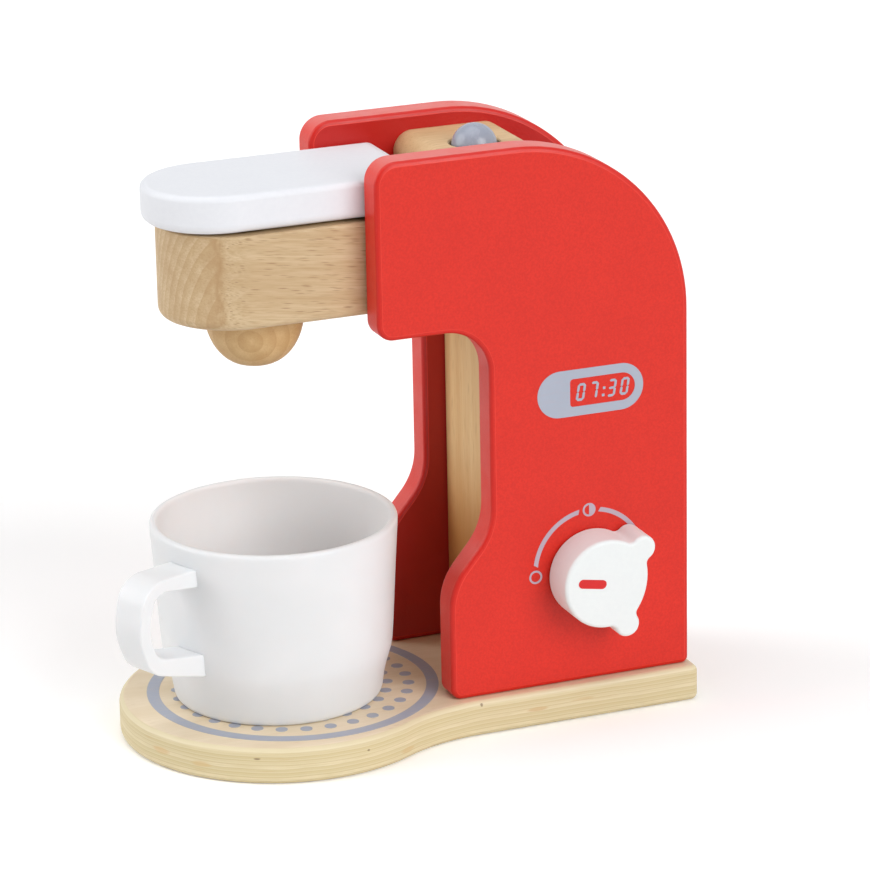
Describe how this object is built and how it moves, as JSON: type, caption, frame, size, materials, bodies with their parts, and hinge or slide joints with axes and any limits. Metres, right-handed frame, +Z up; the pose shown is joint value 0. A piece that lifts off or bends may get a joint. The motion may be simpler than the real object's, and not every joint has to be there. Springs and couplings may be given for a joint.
{
  "type": "toy coffee maker",
  "caption": "Wooden toy coffee maker with a lidded brewing arm over a loose cup, a sprung top button, a turning side knob and a printed drip board.",
  "frame": {"origin": "centre of the base board's length and width, on its underside", "axes": "+X across the machine towards the knob, +Y from the cup towards the back, +Z up"},
  "size_m": [0.0986, 0.1798, 0.1795],
  "materials": {
    "red_paint": "satin red paint on fibreboard",
    "beech": "clear satin lacquer",
    "plywood": "clear satin lacquer, bare layered edge",
    "white_paint": "satin white paint",
    "grey_paint": "satin blue-grey paint",
    "cup_plastic": "satin moulded plastic",
    "grey_ink": "screen-printed ink",
    "red_ink": "screen-printed ink",
    "steel": "zinc-plated"
  },
  "bodies": {
    "frame": {"base_board": "plywood", "left_side_panel": "red_paint", "right_side_panel": "red_paint", "rear_column": "beech", "brew_arm": "beech", "top_block": "beech", "spout": "beech", "base_screws": "steel", "column_dowels": "beech", "arm_dowels": "beech", "block_dowels": "beech", "drip_print": "grey_ink", "display_print": "grey_ink", "dial_print": "grey_ink", "button_spring": "steel"},
    "lid": {"lid": "white_paint", "lid_hinge_rod": "beech"},
    "button": {"button": "grey_paint"},
    "knob": {"knob": "white_paint", "knob_axle": "beech", "knob_washer": "steel", "knob_screw": "steel", "knob_mark": "red_ink"},
    "cup": {"cup": "cup_plastic"}
  },
  "joints": [
    {"name": "lid_hinge", "type": "hinge", "parent": "frame", "child": "lid", "pos_m": [0, 0.0013, 0.16625], "axis": [-1, 0, 0], "range_deg": [0, 128]},
    {"name": "button_press", "type": "slide", "parent": "frame", "child": "button", "axis": [0, 0, -1], "range_m": [0, 0.005], "stiffness_N_per_m": 300, "springref_m": -0.003, "deforming": ["button_spring"]},
    {"name": "knob_turn", "type": "hinge", "parent": "frame", "child": "knob", "pos_m": [0.032, 0.0514, 0.0458], "axis": [1, 0, 0], "continuous": true},
    {"name": "cup_slide", "type": "slide", "parent": "frame", "child": "cup", "axis": [0, -1, 0], "range_m": [0, 0.12]}
  ]
}
